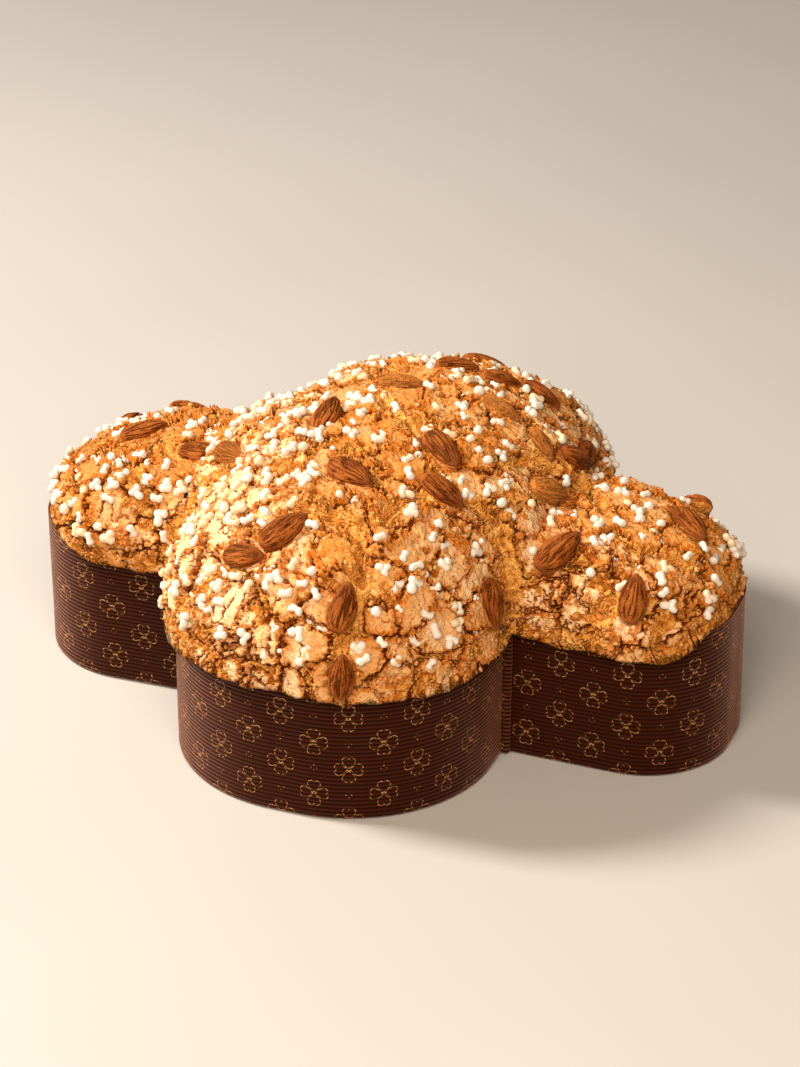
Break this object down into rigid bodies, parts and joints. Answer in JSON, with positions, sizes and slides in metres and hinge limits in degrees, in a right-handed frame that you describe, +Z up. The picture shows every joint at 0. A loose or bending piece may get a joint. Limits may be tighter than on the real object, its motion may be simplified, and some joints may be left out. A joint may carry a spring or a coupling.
{
  "type": "colomba cake",
  "caption": "Dove-shaped sweet yeast cake with a high domed, cracked crust and whole almonds on top, standing in its tall ribbed paper baking case.",
  "frame": {"origin": "on the surface it stands on, under the middle of the cake's bounding box", "axes": "+Z up, -X towards the dove's head, +X towards its tail, -Y towards the wing at the front and +Y towards the wing at the back"},
  "size_m": [0.3001, 0.2404, 0.1292],
  "materials": {
    "crust": "rough matte crust",
    "almond": "satin roasted skin",
    "paper": "ribbed satin paper"
  },
  "bodies": {
    "root": {"cake": "crust", "paper_case": "paper", "almond_01": "almond", "almond_02": "almond", "almond_03": "almond", "almond_04": "almond", "almond_05": "almond", "almond_06": "almond", "almond_07": "almond", "almond_08": "almond", "almond_09": "almond", "almond_10": "almond", "almond_11": "almond", "almond_12": "almond", "almond_13": "almond", "almond_14": "almond", "almond_15": "almond", "almond_16": "almond", "almond_17": "almond", "almond_18": "almond", "almond_19": "almond", "almond_20": "almond", "almond_21": "almond", "almond_22": "almond", "almond_23": "almond", "almond_24": "almond", "almond_25": "almond", "almond_26": "almond", "almond_27": "almond", "almond_28": "almond", "almond_29": "almond", "almond_30": "almond", "almond_31": "almond", "almond_32": "almond", "almond_33": "almond"}
  },
  "joints": []
}
